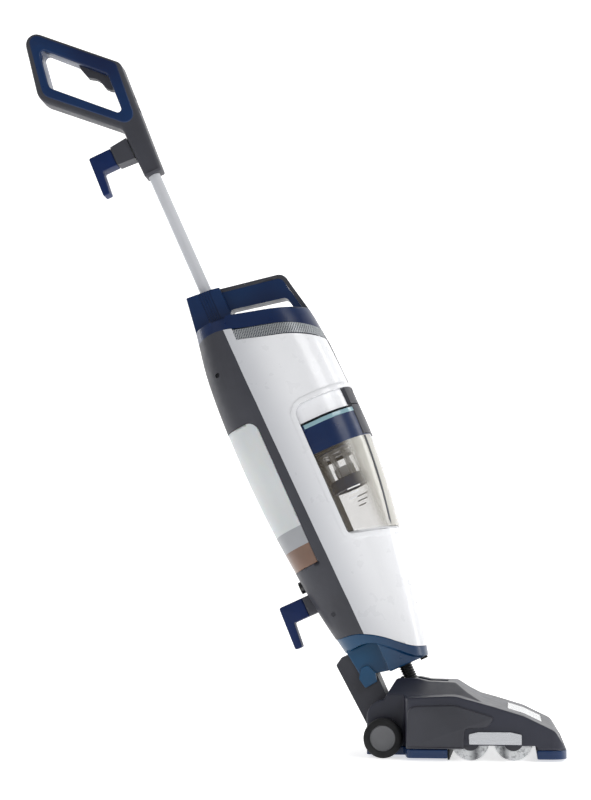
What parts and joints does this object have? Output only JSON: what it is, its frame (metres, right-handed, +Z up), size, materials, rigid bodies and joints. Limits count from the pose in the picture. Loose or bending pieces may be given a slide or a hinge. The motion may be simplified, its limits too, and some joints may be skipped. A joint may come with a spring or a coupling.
{
  "type": "wet dry floor scrubber",
  "caption": "Upright wet and dry floor washer: twin brush rolls in a wheeled foot, a reclining body with clean and dirty water tanks, and a tube with a loop handle.",
  "frame": {"origin": "on the floor under the middle of the machine's box", "axes": "+X forward over the foot, +Z up from the floor, +Y to the left seen from behind the handle"},
  "size_m": [0.7992, 0.306, 1.083],
  "materials": {
    "blue_shell": "glossy, deep teal blue",
    "blue_soft": "satin, deep blue",
    "grey_shell": "satin, dark grey",
    "white_shell": "glossy white",
    "silver_vent": "silver, satin",
    "band_grey": "silver grey, satin",
    "frosted": "frosted, translucent",
    "amber": "translucent brown",
    "smoky": "clear, smoky",
    "clear": "clear",
    "black_plastic": "matt black",
    "rubber": "matt black",
    "tread": "matt black",
    "steel": "satin",
    "pole_steel": "bright satin",
    "chrome": "polished",
    "motor_case": "zinc grey",
    "tufts": "soft microfibre pile"
  },
  "bodies": {
    "foot": {"foot_base": "blue_shell", "foot_cover": "grey_shell", "brush_window": "clear", "side_cover_right": "grey_shell", "side_cover_left": "grey_shell", "chassis_plate": "steel", "suction_duct": "black_plastic", "squeegee": "rubber", "brush_motor": "motor_case", "drive_belt": "rubber", "transfer_belt": "rubber", "wheel_axle": "steel", "hose": "black_plastic"},
    "motor_rotor": {"motor_pulley": "steel"},
    "rear_roll": {"rear_roll_core": "grey_shell", "rear_roll_tufts": "tufts"},
    "front_roll": {"front_roll_core": "grey_shell", "front_roll_tufts": "tufts"},
    "right_wheel": {"right_tyre": "tread", "right_hub": "grey_shell"},
    "left_wheel": {"left_tyre": "tread", "left_hub": "grey_shell"},
    "roll_latch": {"brush_latch": "chrome"},
    "upright": {"neck_arm": "grey_shell", "base_collar": "blue_shell", "collar_bumper": "rubber", "spine_shell": "grey_shell", "side_shell_right": "white_shell", "side_shell_left": "white_shell", "front_trim": "grey_shell", "tank_bay": "white_shell", "vent_grille": "silver_vent", "top_cap": "blue_shell", "suction_motor": "motor_case", "pump": "motor_case", "cord_gland": "black_plastic", "spine_screws": "motor_case", "upper_hook_base": "grey_shell", "pole": "pole_steel", "handle_shell_right": "grey_shell", "handle_shell_left": "grey_shell", "handle_insert": "blue_shell", "trigger_spring": "steel", "trigger_switch": "black_plastic"},
    "recline_tab": {"recline_latch": "blue_soft"},
    "fan_wheel": {"fan": "band_grey"},
    "upper_cord_hook": {"upper_hook": "blue_soft"},
    "lower_cord_hook": {"lower_hook": "blue_soft"},
    "finger_trigger": {"trigger": "grey_shell"},
    "power_rocker": {"power_switch": "grey_shell"},
    "clean_water_tank": {"clean_tank": "frosted", "clean_tank_band": "band_grey", "clean_tank_cap": "amber"},
    "dirty_water_tank": {"tank_cup": "smoky", "tank_lid": "blue_shell", "tank_seal": "rubber", "filter_cage": "clear", "cage_base": "blue_shell"},
    "float_valve": {"float_cup": "white_shell"},
    "tank_button": {"tank_latch": "grey_shell"}
  },
  "joints": [
    {"name": "recline", "type": "hinge", "parent": "foot", "child": "upright", "pos_m": [0.155, 0, 0.0265], "axis": [0, 1, 0], "range_deg": [-46, 20], "deforming": ["hose"]},
    {"name": "right_wheel_spin", "type": "hinge", "parent": "foot", "child": "right_wheel", "pos_m": [0.155, -0.113, 0.0265], "axis": [0, 1, 0], "continuous": true},
    {"name": "left_wheel_spin", "type": "hinge", "parent": "foot", "child": "left_wheel", "pos_m": [0.155, 0.113, 0.0265], "axis": [0, 1, 0], "continuous": true},
    {"name": "rear_roll_spin", "type": "hinge", "parent": "foot", "child": "rear_roll", "pos_m": [0.273, 0, 0.0263], "axis": [0, 1, 0], "continuous": true},
    {"name": "front_roll_spin", "type": "hinge", "parent": "foot", "child": "front_roll", "pos_m": [0.33, 0, 0.0263], "axis": [0, 1, 0], "continuous": true},
    {"name": "motor_spin", "type": "hinge", "parent": "foot", "child": "motor_rotor", "pos_m": [0.217, 0.1, 0.042], "axis": [0, 1, 0], "continuous": true},
    {"name": "roll_latch_hinge", "type": "hinge", "parent": "foot", "child": "roll_latch", "pos_m": [0.3065, -0.1502, 0.038], "axis": [1, 0, 0], "range_deg": [-60, 0]},
    {"name": "recline_tab_press", "type": "hinge", "parent": "upright", "child": "recline_tab", "pos_m": [0.1253, -0.0375, 0.11289], "axis": [0, 1, 0], "range_deg": [0, 8], "stiffness_Nm_per_rad": 0.3, "springref_deg": -5.73},
    {"name": "fan_spin", "type": "hinge", "parent": "upright", "child": "fan_wheel", "pos_m": [0.02186, 0, 0.5419], "axis": [-0.4067, 0, 0.9135], "continuous": true},
    {"name": "upper_hook_swivel", "type": "hinge", "parent": "upright", "child": "upper_cord_hook", "pos_m": [-0.25739, 0, 0.88389], "axis": [0.9135, 0, 0.4067], "range_deg": [0, 180]},
    {"name": "lower_hook_swivel", "type": "hinge", "parent": "upright", "child": "lower_cord_hook", "pos_m": [0.0367, 0, 0.2037], "axis": [0.9135, 0, 0.4067], "range_deg": [0, 90]},
    {"name": "trigger_squeeze", "type": "hinge", "parent": "upright", "child": "finger_trigger", "pos_m": [-0.31176, 0, 1.03921], "axis": [0, 1, 0], "range_deg": [-4, 0], "stiffness_Nm_per_rad": 0.25, "springref_deg": 6.88, "deforming": ["trigger_spring"]},
    {"name": "power_rocker_tilt", "type": "hinge", "parent": "upright", "child": "power_rocker", "pos_m": [-0.22865, 0, 0.96565], "axis": [0, 1, 0], "range_deg": [-8, 0]},
    {"name": "clean_tank_slide", "type": "slide", "parent": "upright", "child": "clean_water_tank", "axis": [-0.9135, 0, -0.4067], "range_m": [0, 0.06]},
    {"name": "dirty_tank_slide", "type": "slide", "parent": "upright", "child": "dirty_water_tank", "axis": [0.9135, 0, 0.4067], "range_m": [0, 0.1]},
    {"name": "float_rise", "type": "slide", "parent": "dirty_water_tank", "child": "float_valve", "axis": [-0.4067, 0, 0.9135], "range_m": [0, 0.014]},
    {"name": "tank_button_press", "type": "slide", "parent": "dirty_water_tank", "child": "tank_button", "axis": [-0.9135, 0, -0.4067], "range_m": [0, 0.0025], "stiffness_N_per_m": 800, "springref_m": -0.002}
  ],
  "couplings": [
    {"joint": "front_roll_spin", "follows": "rear_roll_spin", "ratio": 1},
    {"joint": "motor_spin", "follows": "rear_roll_spin", "ratio": 1.5}
  ]
}
